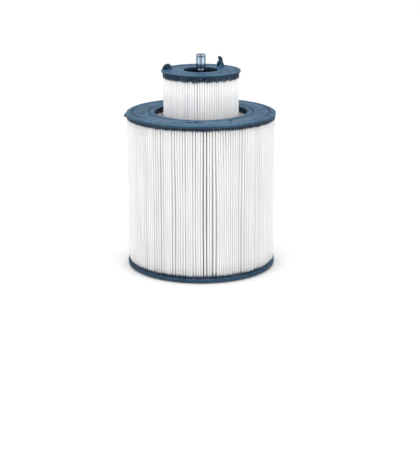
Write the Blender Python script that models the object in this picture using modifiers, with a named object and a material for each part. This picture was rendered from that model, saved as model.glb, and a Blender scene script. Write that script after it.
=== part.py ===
"""A nested pair of pleated filter cartridges for a pool filter.

A short, wide module stands round a tall, narrow one. Each module is a ring with pleats on its
outside and on its inside: dirty water presses in through both, clean water runs down the narrow
channel between the two perforated cores and leaves through slots in the bottom cap, which two
rubber rings seal. A steel rod with a long round nut stands in the middle.

Metres, +Z up. The origin is on the common axis, at the flat base that both modules stand on.
"""

import math

import bmesh
import bpy
from mathutils import Matrix, Vector

MM = 0.001
GAP = 0.3 * MM  # left between two pieces that touch

# Driving dimensions of the two modules
LARGE_RADIUS = 200 * MM
LARGE_HOLE = 124 * MM
LARGE_HEIGHT = 420 * MM
SMALL_RADIUS = 105.5 * MM
SMALL_HOLE = 46 * MM
SMALL_HEIGHT = 531 * MM
LARGE_STEPS = 40
SMALL_STEPS = 32

# Both bottom caps
BASE_THICKNESS = 12 * MM
SEAT_STEP = 3 * MM  # how far the sealing seat stands below the rest of the cap
GROOVE_DEPTH = 4.7 * MM
GROOVE_HALF_WIDTH = 3 * MM
SEAL_THICKNESS = 4 * MM
SEAT_MARGIN = 3 * MM  # seat left beside a groove
BOTTOM_POTTING = 5 * MM

# Both pleat packs and cores
CORE_WALL = 2.6 * MM
SHEET = 3 * MM  # radial thickness of a folded sheet
BAND = 2.4 * MM  # radial thickness of the toothed edge

# Centre rod and its nut
ROD_RADIUS = 10.65 * MM
ROD_FOOT_RADIUS = 9 * MM
ROD_FOOT_Z = 5 * MM
ROD_TOP_Z = 568 * MM
NUT_RADIUS = 13 * MM
NUT_BOTTOM_Z = 536 * MM
NUT_TOP_Z = 572.3 * MM
HUB_RADIUS = 17 * MM
HUB_BORE = 11.2 * MM
HUB_TOP_Z = 26 * MM
BUSH_FLANGE = 2.3 * MM
SHOULDER_Z = HUB_TOP_Z + GAP + BUSH_FLANGE + GAP

# Folding lift levers on the small cap, which fold down towards the axis
LEVER_RADIUS = 97 * MM  # from the axis to the middle of a lever's pivot
LEVER_LIFT = 6.5 * MM  # pivot height above the small cap's land
LEVER_LENGTH = 19 * MM
LEVER_WIDTH = 9 * MM
EAR_WIDTH = 3 * MM
EAR_RADIUS = 4.6 * MM
PIN_RADIUS = 2 * MM
PIN_HEAD_RADIUS = 3.4 * MM
PIN_HEAD = 1.4 * MM
LEFT_LEVER_ANGLE = math.radians(166)
RIGHT_LEVER_ANGLE = math.radians(57.5)

# Top caps
FLANGE = 6 * MM  # height of a cap's rim
RIM_STEP = 2 * MM  # the large cap's rim lies this far below its top face
LAND_DROP = 1.5 * MM  # the small cap's land lies this far below its beads
LUG_DISTANCE = 199 * MM  # from the axis to the middle of the locating lug's blunt tip, on the left
LUG_ANGLE = math.radians(190)
LUG_RADIUS = 8 * MM
LUG_ROOT = ((190 * MM, 34.6 * MM), (195.7 * MM, 36.3 * MM))  # its root lies inside the rim

for old in list(bpy.data.objects):
    bpy.data.objects.remove(old)

SET = bpy.data.collections.new("filter_cartridge_set")
CUTTERS = bpy.data.collections.new("cutters")
bpy.context.scene.collection.children.link(SET)
bpy.context.scene.collection.children.link(CUTTERS)


def material(name, colour, roughness, metallic=0.0):
    made = bpy.data.materials.new(name)
    made.use_nodes = True
    shader = made.node_tree.nodes["Principled BSDF"]
    shader.inputs["Base Color"].default_value = (*colour, 1.0)
    shader.inputs["Roughness"].default_value = roughness
    shader.inputs["Metallic"].default_value = metallic
    return made


CAP_PLASTIC = material("cap_plastic", (0.10, 0.16, 0.24), 0.45)
POTTING = material("potting", (0.03, 0.04, 0.055), 0.55)
PLEAT_CLOTH = material("pleat_cloth", (0.86, 0.86, 0.85), 0.85)
CORE_PLASTIC = material("core_plastic", (0.78, 0.79, 0.80), 0.5)
SEAL_RUBBER = material("seal_rubber", (0.02, 0.02, 0.02), 0.7)
STEEL = material("steel", (0.62, 0.66, 0.72), 0.22, 1.0)


def empty(name, location=(0, 0, 0)):
    made = bpy.data.objects.new(name, None)
    made.location = location
    SET.objects.link(made)
    return made


def add_object(name, data, look, parent=None, cutter=False):
    made = bpy.data.objects.new(name, data)
    if cutter:
        CUTTERS.objects.link(made)
        made.hide_render = True
        made.display_type = "WIRE"
        return made
    SET.objects.link(made)
    data.materials.append(look)
    made.parent = parent
    return made


def finished(name, bm):
    """The bmesh as a mesh, with its faces turned outwards."""
    bmesh.ops.recalc_face_normals(bm, faces=bm.faces)
    mesh = bpy.data.meshes.new(name)
    bm.to_mesh(mesh)
    bm.free()
    return mesh


def turned(name, profile, steps, look, parent, closed=True, cutter=False):
    """A profile of (radius, z) points turned about Z. It runs outwards on top, then down the
    outer side. An open profile starts and ends on the axis."""
    mesh = bpy.data.meshes.new(name)
    count = len(profile)
    edges = [(i, (i + 1) % count) for i in range(count if closed else count - 1)]
    mesh.from_pydata([(r, 0, z) for r, z in profile], edges, [])
    made = add_object(name, mesh, look, parent, cutter)
    screw = made.modifiers.new("turn", "SCREW")
    screw.steps = steps
    screw.render_steps = steps
    screw.use_merge_vertices = not closed
    screw.merge_threshold = 0.00005
    return made


def boolean(target, other, operation):
    cut = target.modifiers.new(f"{operation.lower()} {other.name}", "BOOLEAN")
    cut.operation = operation
    cut.object = other


def block(name, size, location, turn=0.0):
    """A box used as a cutter or joined to a cap, turned about Z."""
    bm = bmesh.new()
    bmesh.ops.create_cube(bm, size=1.0)
    bmesh.ops.scale(bm, vec=size, verts=bm.verts)
    made = add_object(name, finished(name, bm), None, cutter=True)
    made.location = location
    made.rotation_euler[2] = turn
    return made


def prism(name, outline, low, high):
    """A closed solid along Z with that outline of (x, y) points, joined to a cap."""
    bm = bmesh.new()
    face = bm.faces.new([bm.verts.new((x, y, low)) for x, y in outline])
    grown = bmesh.ops.extrude_face_region(bm, geom=[face])["geom"]
    top = [part for part in grown if isinstance(part, bmesh.types.BMVert)]
    bmesh.ops.translate(bm, vec=(0, 0, high - low), verts=top)
    return add_object(name, finished(name, bm), None, cutter=True)


def arc(radius, first, last, points, centre=(0.0, 0.0)):
    """Points on an arc, angles in degrees."""
    found = []
    for i in range(points):
        turn = math.radians(first + (last - first) * i / (points - 1))
        found.append((centre[0] + radius * math.cos(turn), centre[1] + radius * math.sin(turn)))
    return found


# ---------------------------------------------------------------- pieces that both modules have


def folded_sheet(name, inner, outer, low, high, pleats, parent):
    """One pleat pack: a sheet folded in and out round the axis, with its ends joined."""
    bm = bmesh.new()
    ring = bmesh.ops.create_circle(bm, segments=2 * pleats, radius=outer - SHEET)["verts"]
    for valley in ring[::2]:
        valley.co *= inner / (outer - SHEET)
    bmesh.ops.translate(bm, vec=(0, 0, low), verts=bm.verts)
    wall = bmesh.ops.extrude_edge_only(bm, edges=bm.edges[:])["geom"]
    rising = [v for v in wall if isinstance(v, bmesh.types.BMVert)]
    bmesh.ops.translate(bm, vec=(0, 0, high - low), verts=rising)
    made = add_object(name, finished(name, bm), PLEAT_CLOTH, parent)
    thick = made.modifiers.new("cloth thickness", "SOLIDIFY")
    thick.thickness = SHEET
    thick.offset = 1.0
    return made


def inside(radius, steps):
    """The largest radius that clears the inner wall of a turned ring with that many steps."""
    return radius * math.cos(math.pi / steps) - GAP


def core(name, inner, low, high, segments, parent):
    """A perforated core: a tube with two rows of long windows between its ribs."""
    rows = (low, low + 22 * MM, (low + high) / 2 - 9 * MM, (low + high) / 2 + 9 * MM, high - 22 * MM, high)
    bm = bmesh.new()
    bmesh.ops.create_circle(bm, segments=segments, radius=inner)
    bmesh.ops.translate(bm, vec=(0, 0, rows[0]), verts=bm.verts)
    rim = bm.edges[:]
    for below, above in zip(rows, rows[1:]):
        grown = bmesh.ops.extrude_edge_only(bm, edges=rim)["geom"]
        rim = [e for e in grown if isinstance(e, bmesh.types.BMEdge)]
        rising = [v for v in grown if isinstance(v, bmesh.types.BMVert)]
        bmesh.ops.translate(bm, vec=(0, 0, above - below), verts=rising)
    middle = [(rows[1] + rows[2]) / 2, (rows[3] + rows[4]) / 2]
    windows = []
    for face in bm.faces:
        centre = face.calc_center_median()
        sector = round(math.atan2(centre.y, centre.x) / math.tau * segments - 0.5)
        if sector % 2 == 0 and min(abs(centre.z - z) for z in middle) < 1 * MM:
            windows.append(face)
    bmesh.ops.delete(bm, geom=windows, context="FACES_ONLY")
    made = add_object(name, finished(name, bm), CORE_PLASTIC, parent)
    wall = made.modifiers.new("wall", "SOLIDIFY")
    wall.thickness = CORE_WALL
    wall.offset = 1.0
    return made


def potting_ring(name, inner, outer, low, high, steps, parent, tooth=0.0):
    """The cast ring that the ends of the pleats are sealed in. Its outer lower edge is toothed,
    where the resin has climbed between the folds."""
    section = [(inner, high), (outer, high), (outer, low), (outer - BAND, low), (inner, low)]
    if not tooth:
        del section[3]
        return turned(name, section, steps, POTTING, parent)
    bm = bmesh.new()
    loop = [bm.verts.new((r, 0, z)) for r, z in section]
    edges = [bm.edges.new((a, b)) for a, b in zip(loop, loop[1:] + loop[:1])]
    bmesh.ops.spin(
        bm, geom=loop + edges, axis=(0, 0, 1), cent=(0, 0, 0), angle=math.tau, steps=steps, use_merge=True
    )
    bmesh.ops.recalc_face_normals(bm, faces=bm.faces)
    edge_faces = []
    for face in bm.faces:
        centre = face.calc_center_median()
        if abs(centre.z - low) < GAP and centre.xy.length > outer - 0.6 * BAND:
            sector = round(math.atan2(centre.y, centre.x) / math.tau * steps - 0.5)
            if sector % 2 == 0:
                edge_faces.append(face)
    teeth = bmesh.ops.extrude_discrete_faces(bm, faces=edge_faces)["faces"]
    tips = {v for face in teeth for v in face.verts}
    bmesh.ops.translate(bm, vec=(0, 0, -tooth), verts=list(tips))
    return add_object(name, finished(name, bm), POTTING, parent)


def seal_ring(name, radius, thickness, height, segments, parent):
    """A rubber ring of round section."""
    bpy.ops.mesh.primitive_torus_add(
        major_segments=segments,
        minor_segments=6,
        major_radius=radius,
        minor_radius=thickness / 2,
        location=(0, 0, height),
    )
    made = bpy.context.object
    made.name = name
    for holder in list(made.users_collection):
        holder.objects.unlink(made)
    SET.objects.link(made)
    made.data.materials.append(SEAL_RUBBER)
    made.parent = parent
    return made


def bottom_cap(name, inner, outer, grooves, channel, slots, slot_length, steps, parent):
    """The bottom cap: a plate with a raised sealing seat, a groove for each seal ring, and outlet
    slots under the channel. grooves are the seal rings' radii, smaller first."""
    seat_in = grooves[0] - GROOVE_HALF_WIDTH - SEAT_MARGIN
    seat_out = grooves[1] + GROOVE_HALF_WIDTH + SEAT_MARGIN
    under = []
    for radius in reversed(grooves):
        near, far = radius - GROOVE_HALF_WIDTH, radius + GROOVE_HALF_WIDTH
        under += [(far, 0), (far, GROOVE_DEPTH), (near, GROOVE_DEPTH), (near, 0)]
    edge = 1.5 * MM
    profile = [
        (inner, BASE_THICKNESS),
        (outer, BASE_THICKNESS),
        (outer, SEAT_STEP + edge),
        (outer - edge, SEAT_STEP),
        (seat_out, SEAT_STEP),
        (seat_out, 0),
        *under,
        (seat_in, 0),
        (seat_in, SEAT_STEP),
        (inner, SEAT_STEP),
    ]
    cap = turned(name, profile, steps, CAP_PLASTIC, parent)
    width = channel[1] - channel[0]
    middle = (channel[0] + channel[1]) / 2
    for i in range(slots):
        turn = (i + 0.5) * math.tau / slots
        at = (middle * math.cos(turn), middle * math.sin(turn), BASE_THICKNESS / 2)
        size = (width, slot_length, 2 * BASE_THICKNESS)
        boolean(cap, block(f"{name}_slot_{i}", size, at, turn), "DIFFERENCE")
    return cap


def seals(prefix, grooves, segments, parent):
    for place, radius in zip(("inner", "outer"), grooves):
        height = GROOVE_DEPTH - GAP - SEAL_THICKNESS / 2
        seal_ring(f"{prefix}_{place}_seal", radius, SEAL_THICKNESS, height, segments, parent)


# ---------------------------------------------------------------- the large module


def lug_outline():
    """The locating lug from above: a blunt wedge that points away from the axis."""
    low_side = [(x, -y) for x, y in LUG_ROOT]
    tip = arc(LUG_RADIUS, -17, 17, 5, (LUG_DISTANCE, 0))
    c, s = math.cos(LUG_ANGLE), math.sin(LUG_ANGLE)
    return [(x * c - y * s, x * s + y * c) for x, y in [*low_side, *tip, *reversed(LUG_ROOT)]]


def large_top_cap(parent):
    top = LARGE_HEIGHT
    rim = LARGE_RADIUS
    step, edge, groove = RIM_STEP, 0.8 * MM, 1.5 * MM
    profile = [(LARGE_HOLE + 1.5 * MM, top)]
    for radius in (140 * MM, 184 * MM):
        profile += [(radius - MM, top), (radius, top - groove), (radius + MM, top)]
    profile += [
        (rim - 4 * MM, top),
        (rim - 3.5 * MM, top - step),
        (rim - edge, top - step),
        (rim, top - step - edge),
        (rim, top - step - FLANGE + edge),
        (rim - edge, top - step - FLANGE),
        (LARGE_HOLE, top - step - FLANGE),
        (LARGE_HOLE, top - 1.5 * MM),
    ]
    cap = turned("large_top_cap", profile, LARGE_STEPS, CAP_PLASTIC, parent)
    low, high = top - step - FLANGE + 0.2 * MM, top - step - 0.2 * MM
    boolean(cap, prism("large_cap_lug", lug_outline(), low, high), "UNION")
    return cap


def large_module():
    parent = empty("large_module")
    large_top_cap(parent)
    under_cap = LARGE_HEIGHT - RIM_STEP - FLANGE - GAP
    pleat_top = under_cap - 2.5 * MM
    edge = LARGE_RADIUS - 1.5 * MM
    potting_ring(
        "large_top_potting", LARGE_HOLE + MM, edge, pleat_top, under_cap, 64, parent, tooth=4.2 * MM
    )
    on_base = BASE_THICKNESS + GAP
    pleat_bottom = on_base + BOTTOM_POTTING + GAP
    inner_core, outer_core = 153.2 * MM, 164.4 * MM
    channel = (inner_core + CORE_WALL + MM, outer_core - MM)
    far_side = outer_core + CORE_WALL + GAP
    ring = (on_base, on_base + BOTTOM_POTTING, LARGE_STEPS, parent)
    potting_ring("large_bottom_outer_potting", far_side, edge, *ring)
    potting_ring("large_bottom_inner_potting", LARGE_HOLE + MM, inner_core - GAP, *ring)
    reach = (pleat_bottom, pleat_top - GAP)
    folded_sheet("large_outer_pleats", far_side + GAP, edge - BAND - GAP, *reach, 48, parent)
    folded_sheet("large_inner_pleats", 127 * MM, inside(inner_core, LARGE_STEPS), *reach, 36, parent)
    core("large_inner_core", inner_core, on_base, pleat_top - GAP, LARGE_STEPS, parent)
    core("large_outer_core", outer_core, on_base, pleat_top - GAP, LARGE_STEPS, parent)
    grooves = (146 * MM, 174 * MM)
    bottom_cap(
        "large_bottom_cap", LARGE_HOLE, LARGE_RADIUS, grooves, channel, 12, 40 * MM, LARGE_STEPS, parent
    )
    seals("large", grooves, 40, parent)
    return parent


# ---------------------------------------------------------------- the small module


def round_spline(data, radius, centre=(0.0, 0.0)):
    """A circle of four Bezier points on a flat curve."""
    spline = data.splines.new("BEZIER")
    spline.bezier_points.add(3)
    reach = radius * 4 / 3 * math.tan(math.pi / 8)
    for i, point in enumerate(spline.bezier_points):
        turn = i * math.pi / 2
        out = Vector((math.cos(turn), math.sin(turn), 0))
        along = Vector((-out.y, out.x, 0))
        point.co = Vector((*centre, 0)) + out * radius
        point.handle_left = point.co - along * reach
        point.handle_right = point.co + along * reach
    spline.use_cyclic_u = True


def plate(name, outline, hole, thickness, look, place, cutter=False):
    """A flat outline with a round hole at the origin, extruded to both sides of its plane."""
    data = bpy.data.curves.new(name, "CURVE")
    data.dimensions = "2D"
    data.fill_mode = "BOTH"
    data.extrude = thickness / 2
    data.resolution_u = 4
    spline = data.splines.new("POLY")
    spline.points.add(len(outline) - 1)
    for point, (x, y) in zip(spline.points, outline):
        point.co = (x, y, 0, 1)
    spline.use_cyclic_u = True
    if hole:
        round_spline(data, hole)
    drawn = bpy.data.objects.new(name, data)
    bpy.context.scene.collection.objects.link(drawn)
    graph = bpy.context.evaluated_depsgraph_get()
    mesh = bpy.data.meshes.new_from_object(drawn.evaluated_get(graph))
    bpy.data.objects.remove(drawn)
    bm = bmesh.new()
    bm.from_mesh(mesh)
    bmesh.ops.remove_doubles(bm, verts=bm.verts, dist=0.00001)
    bmesh.ops.recalc_face_normals(bm, faces=bm.faces)
    bm.to_mesh(mesh)
    bm.free()
    made = add_object(name, mesh, look, cutter=cutter)
    made.matrix_world = place
    return made


def pivot_place(angle, raised=0.0):
    """The pivot's own frame: X towards the axis, along the folded lever, Y up, and Z along the
    pin, anticlockwise seen from above. raised turns it about the pin, from folded to standing."""
    out = Vector((math.cos(angle), math.sin(angle), 0))
    along = Vector((-out.y, out.x, 0))
    up = Vector((0, 0, 1))
    at = out * LEVER_RADIUS + up * (SMALL_HEIGHT - LAND_DROP + LEVER_LIFT)
    turn = Matrix((-out, up, along)).transposed().to_4x4()
    return Matrix.Translation(at) @ turn @ Matrix.Rotation(raised, 4, "Z")


def lever_outline():
    """A hooked fin: a round heel at the pivot, a domed back, and a tip that curls down."""
    heel = arc(5 * MM, 250, 90, 7)
    back = [(4.5 * MM, 7.3 * MM), (9 * MM, 6.8 * MM), (13 * MM, 4.6 * MM), (16 * MM, 1.4 * MM)]
    tip = arc(1.9 * MM, 30, -120, 5, (LEVER_LENGTH - 1.9 * MM, -3.3 * MM))
    under = [(13.5 * MM, -2.6 * MM), (9.5 * MM, -2.6 * MM), (4.6 * MM, -4.6 * MM)]
    return [*heel, *back, *tip, *under]


def ear_outline():
    """A pivot ear: a round head on a foot that runs further inwards than outwards."""
    foot = -(LEVER_LIFT + 1 * MM)
    return [*arc(EAR_RADIUS, 0, 180, 9), (-6.5 * MM, foot), (9 * MM, foot)]


def pin(name, angle, parent):
    """A headed pin through both ears, with its tail spread."""
    grip = LEVER_WIDTH / 2 + GAP + EAR_WIDTH + GAP
    end = grip + PIN_HEAD
    profile = [
        (0, end),
        (PIN_HEAD_RADIUS, end),
        (PIN_HEAD_RADIUS, grip),
        (PIN_RADIUS, grip),
        (PIN_RADIUS, -grip),
        (PIN_HEAD_RADIUS, -grip),
        (PIN_HEAD_RADIUS, -end),
        (0, -end),
    ]
    made = turned(name, profile, 12, STEEL, None, closed=False)
    made.matrix_world = pivot_place(angle)
    made.parent = parent
    return made


def small_top_cap(parent):
    top = SMALL_HEIGHT
    land = top - LAND_DROP
    rim, hole = SMALL_RADIUS, SMALL_HOLE
    edge = 1.2 * MM
    under = top - FLANGE
    profile = [
        (hole + edge, top),
        (hole + 3.5 * MM, top),
        (hole + 4.5 * MM, land),
        (rim - 5 * MM, land),
        (rim - 4 * MM, top),
        (rim - edge, top),
        (rim, top - edge),
        (rim, under + edge),
        (rim - edge, under),
        (hole, under),
        (hole, top - edge),
    ]
    cap = turned("small_top_cap", profile, SMALL_STEPS, CAP_PLASTIC, parent)
    offset = LEVER_WIDTH / 2 + GAP + EAR_WIDTH / 2
    for side, angle in (("left", LEFT_LEVER_ANGLE), ("right", RIGHT_LEVER_ANGLE)):
        for place, shift in (("inner", offset), ("outer", -offset)):
            at = pivot_place(angle) @ Matrix.Translation((0, 0, shift))
            hole_radius = PIN_RADIUS + GAP
            ear = plate(f"{side}_{place}_ear", ear_outline(), hole_radius, EAR_WIDTH, None, at, cutter=True)
            boolean(cap, ear, "UNION")
    return cap


def small_bottom_cap(parent, grooves, channel):
    """The small bottom cap also carries the rod's hub on four spokes."""
    cap = bottom_cap(
        "small_bottom_cap", SMALL_HOLE, 103 * MM, grooves, channel, 8, 26 * MM, SMALL_STEPS, parent
    )
    hub_bottom = SEAT_STEP
    ring = [(HUB_BORE, HUB_TOP_Z), (HUB_RADIUS, HUB_TOP_Z), (HUB_RADIUS, hub_bottom), (HUB_BORE, hub_bottom)]
    hub = turned("hub", ring, 16, None, None, cutter=True)
    boolean(cap, hub, "UNION")
    reach = SMALL_HOLE + 2 * MM - (HUB_RADIUS - 1.5 * MM)
    for i in range(4):
        turn = i * math.tau / 4 + math.tau / 8
        middle = HUB_RADIUS - 1.5 * MM + reach / 2
        at = (middle * math.cos(turn), middle * math.sin(turn), 7.5 * MM)
        boolean(cap, block(f"spoke_{i}", (reach, 6 * MM, 7 * MM), at, turn), "UNION")
    return cap


def small_module():
    parent = empty("small_module")
    small_top_cap(parent)
    under_cap = SMALL_HEIGHT - FLANGE - GAP
    pleat_top = under_cap - 7 * MM
    edge = 101.5 * MM
    potting_ring(
        "small_top_potting", SMALL_HOLE + MM, edge, pleat_top, under_cap, 48, parent, tooth=5.2 * MM
    )
    on_base = BASE_THICKNESS + GAP
    pleat_bottom = on_base + BOTTOM_POTTING + GAP
    inner_core, outer_core = 63.8 * MM, 72.6 * MM
    channel = (inner_core + CORE_WALL + 0.4 * MM, outer_core - 0.4 * MM)
    far_side = outer_core + CORE_WALL + GAP
    ring = (on_base, on_base + BOTTOM_POTTING, SMALL_STEPS, parent)
    potting_ring("small_bottom_outer_potting", far_side, edge, *ring)
    potting_ring("small_bottom_inner_potting", SMALL_HOLE + MM, inner_core - GAP, *ring)
    reach = (pleat_bottom, pleat_top - GAP)
    folded_sheet("small_outer_pleats", far_side + GAP, edge - BAND - GAP, *reach, 30, parent)
    folded_sheet("small_inner_pleats", 48 * MM, inside(inner_core, SMALL_STEPS), *reach, 20, parent)
    core("small_inner_core", inner_core, on_base, pleat_top - GAP, SMALL_STEPS, parent)
    core("small_outer_core", outer_core, on_base, pleat_top - GAP, SMALL_STEPS, parent)
    grooves = (55 * MM, 83 * MM)
    small_bottom_cap(parent, grooves, channel)
    seals("small", grooves, 32, parent)
    bush_inner, bush_outer = ROD_FOOT_RADIUS + GAP, HUB_BORE - GAP
    bush_top = HUB_TOP_Z + GAP + BUSH_FLANGE
    bush = [
        (bush_inner, bush_top),
        (15.5 * MM, bush_top),
        (15.5 * MM, HUB_TOP_Z + GAP),
        (bush_outer, HUB_TOP_Z + GAP),
        (bush_outer, SEAT_STEP + MM),
        (bush_inner, SEAT_STEP + MM),
    ]
    turned("hub_bush", bush, 16, CORE_PLASTIC, parent)
    return parent


def lift_lever(side, angle, raised, parent):
    """A folding lever with its pivot on the pin's axis, held by its own empty."""
    pivot = empty(f"{side}_lever_pivot", pivot_place(angle).translation)
    pivot.parent = parent
    hole_radius = PIN_RADIUS + GAP
    place = pivot_place(angle, raised)
    lever = plate(f"{side}_lift_lever", lever_outline(), hole_radius, LEVER_WIDTH, CAP_PLASTIC, place)
    local = Matrix.Translation(-pivot_place(angle).translation) @ place
    lever.parent = pivot
    lever.matrix_basis = local
    pin(f"{side}_lever_pin", angle, parent)


# ---------------------------------------------------------------- the centre rod


def centre_rod():
    parent = empty("centre_rod_axis")
    tip = 1.5 * MM
    socket, socket_depth = 5 * MM, 18 * MM
    profile = [
        (0, ROD_TOP_Z - socket_depth),
        (socket, ROD_TOP_Z - socket_depth),
        (socket, ROD_TOP_Z),
        (ROD_RADIUS - tip, ROD_TOP_Z),
        (ROD_RADIUS, ROD_TOP_Z - tip),
        (ROD_RADIUS, SHOULDER_Z),
        (ROD_FOOT_RADIUS, SHOULDER_Z),
        (ROD_FOOT_RADIUS, ROD_FOOT_Z + tip),
        (ROD_FOOT_RADIUS - tip, ROD_FOOT_Z),
        (0, ROD_FOOT_Z),
    ]
    turned("centre_rod", profile, 20, STEEL, parent, closed=False)
    bore = ROD_RADIUS + GAP
    low, high = SHOULDER_Z, SHOULDER_Z + 8 * MM
    collar = [(bore, high), (HUB_RADIUS, high), (HUB_RADIUS, low), (bore, low)]
    turned("rod_collar", collar, 20, STEEL, parent)
    ring = 2.2 * MM
    seal_ring("rod_seal", bore + ring / 2 + 0.05 * MM, ring, NUT_BOTTOM_Z - GAP - ring / 2, 20, parent)
    return parent


def rod_nut():
    """The long round nut: a bead at its mouth, a groove under it, and a chamfered skirt."""
    parent = empty("rod_nut_axis")
    bore, mouth = ROD_RADIUS + GAP, 8 * MM
    bead = NUT_RADIUS - 0.5 * MM
    profile = [
        (mouth, NUT_TOP_Z),
        (bead - MM, NUT_TOP_Z),
        (bead, NUT_TOP_Z - MM),
        (bead, NUT_TOP_Z - 4.4 * MM),
        (bead - 0.8 * MM, NUT_TOP_Z - 5 * MM),
        (bead - 0.8 * MM, NUT_TOP_Z - 6 * MM),
        (NUT_RADIUS, NUT_TOP_Z - 6.6 * MM),
        (NUT_RADIUS, NUT_BOTTOM_Z + 1.5 * MM),
        (NUT_RADIUS - 1.2 * MM, NUT_BOTTOM_Z),
        (bore, NUT_BOTTOM_Z),
        (bore, ROD_TOP_Z + GAP),
        (mouth, ROD_TOP_Z + GAP),
    ]
    turned("rod_nut", profile, 20, STEEL, parent)
    return parent


large = large_module()
small = small_module()
small.parent = large
lift_lever("left", LEFT_LEVER_ANGLE, 0.0, small)
lift_lever("right", RIGHT_LEVER_ANGLE, math.radians(90), small)
rod = centre_rod()
rod.parent = small
rod_nut().parent = rod
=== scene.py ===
# %% [markdown]
# # A nested pair of pleated filter cartridges
#
# A wide ring-shaped cartridge stands round a tall narrow one, and a steel rod with a long round nut
# stands in the middle. The solids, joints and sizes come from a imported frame, so this lesson makes
# only what the eye sees: finely folded cloth, cast caps with their toothed resin edge, rubber
# rings, lift levers and polished steel. Sizes are in metres, and +Z is up along the common axis.

# %% Load the frame
import math
import random

import bmesh
import bpy
from mathutils import Matrix, Vector, noise


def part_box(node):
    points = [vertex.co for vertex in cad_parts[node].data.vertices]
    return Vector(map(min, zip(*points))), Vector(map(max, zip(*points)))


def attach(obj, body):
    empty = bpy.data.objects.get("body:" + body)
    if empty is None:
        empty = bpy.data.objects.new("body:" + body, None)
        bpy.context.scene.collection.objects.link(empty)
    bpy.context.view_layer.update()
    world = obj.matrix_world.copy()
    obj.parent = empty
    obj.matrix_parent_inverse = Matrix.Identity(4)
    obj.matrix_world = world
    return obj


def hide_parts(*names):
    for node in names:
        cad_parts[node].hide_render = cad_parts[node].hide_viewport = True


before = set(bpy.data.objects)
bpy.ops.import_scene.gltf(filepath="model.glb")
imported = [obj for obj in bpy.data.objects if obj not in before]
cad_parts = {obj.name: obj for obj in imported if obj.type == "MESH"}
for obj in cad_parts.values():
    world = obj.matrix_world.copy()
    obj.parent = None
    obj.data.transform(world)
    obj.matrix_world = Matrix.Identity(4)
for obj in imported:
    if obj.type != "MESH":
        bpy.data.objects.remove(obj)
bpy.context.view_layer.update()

MM = 0.001

# %% [markdown]
# ## The view
#
# A long lens from more than three metres away keeps upright edges nearly parallel; a short lens
# close by would spread the tops and pinch the base. The camera stands higher than the caps and
# looks down at them, so the round tops show as thin ellipses.

# %% Camera
VIEW_DISTANCE = 3.325
VIEW_HEIGHT = 1.0533
VIEW_DOWN = math.radians(16.334)
VIEW_ASIDE = math.radians(0.4147)
SENSOR_WIDTH = 36  # in mm, as is the lens
LENS = 97.25

camera_data = bpy.data.cameras.new("camera")
camera_data.sensor_width = SENSOR_WIDTH
camera_data.lens = LENS
camera = bpy.data.objects.new("camera", camera_data)
camera.location = (0, -VIEW_DISTANCE, VIEW_HEIGHT)
camera.rotation_euler = (math.pi / 2 - VIEW_DOWN, 0, -VIEW_ASIDE)
bpy.context.collection.objects.link(camera)
bpy.context.scene.camera = camera
print("camera lens in mm:", camera_data.lens)

# %% [markdown]
# ## Light from the front
#
# Polished steel shows whatever stands round it, so a light's shape matters as much as its strength.
# A sun lamp would light the cloth too, but it would leave only a hairline on the steel. Two large
# soft boxes stand at the front left and front right instead and reach down to the floor, and the
# steel mirrors them as two bright stripes with a darker one between.

# %% Soft boxes
BOX_ASIDE, BOX_FORWARD, BOX_UP = 2.0, -1.4, 0.85
BOX_WIDTH, BOX_HEIGHT = 1.9, 1.7
BOX_POWER = 16  # watts
BOX_TARGET = Vector((0, 0, 0.5))


def soft_box(name, side):
    """A rectangular light at one side, -1 for left and 1 for right, that faces the set."""
    data = bpy.data.lights.new(name, "AREA")
    data.shape = "RECTANGLE"
    data.size = BOX_WIDTH
    data.size_y = BOX_HEIGHT
    data.energy = BOX_POWER
    made = bpy.data.objects.new(name, data)
    made.location = (side * BOX_ASIDE, BOX_FORWARD, BOX_UP)
    aim = BOX_TARGET - Vector(made.location)
    made.rotation_euler = aim.to_track_quat("-Z", "Y").to_euler()
    bpy.context.collection.objects.link(made)
    return made


for box_name, box_side in (("left_box", -1), ("right_box", 1)):
    box = soft_box(box_name, box_side)
    print(f"{box.name}: {box.data.size} x {box.data.size_y} m, {box.data.energy} W")

# %% [markdown]
# ## Light from all round
#
# The rest of the light comes from the world. One even grey would do for the cloth, but a cap seen
# at a low angle mirrors the sky behind it and would turn grey as well. So the world is a colour
# ramp over height: dim near the horizon and bright overhead, like a white ceiling. The Standard
# view transform keeps white cloth white.

# %% World and colour
HORIZON, LOW_SKY, OVERHEAD = 0.40, 0.62, 0.98
SKY_STRENGTH = 1.34


def make_world():
    """Pale all round: dimmer near the horizon, brightest overhead."""
    world = bpy.data.worlds.new("studio")
    world.use_nodes = True
    tree = world.node_tree
    direction = tree.nodes.new("ShaderNodeTexCoord").outputs["Generated"]
    split = tree.nodes.new("ShaderNodeSeparateXYZ")
    tree.links.new(direction, split.inputs[0])
    sky = tree.nodes.new("ShaderNodeValToRGB")
    tree.links.new(split.outputs["Z"], sky.inputs["Fac"])
    points = sky.color_ramp.elements
    points.new(0.4)
    for point, (place, level) in zip(points, ((0.0, HORIZON), (0.4, LOW_SKY), (1.0, OVERHEAD))):
        point.position = place
        point.color = (level, level, level, 1)
    background = tree.nodes["Background"]
    tree.links.new(sky.outputs["Color"], background.inputs["Color"])
    background.inputs["Strength"].default_value = SKY_STRENGTH
    bpy.context.scene.world = world


make_world()
bpy.context.scene.view_settings.view_transform = "Standard"
print("sky levels:", HORIZON, LOW_SKY, OVERHEAD, "times", SKY_STRENGTH)

# %% [markdown]
# ## Shader helpers
#
# A finish can be drawn node by node in the shader editor, but written out it takes a dozen lines
# for each noise. These helpers keep a finish to a few readable lines. Every pattern reads Object
# coordinates in metres, so it has its real size on each piece and stays put when a part moves.


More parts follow.
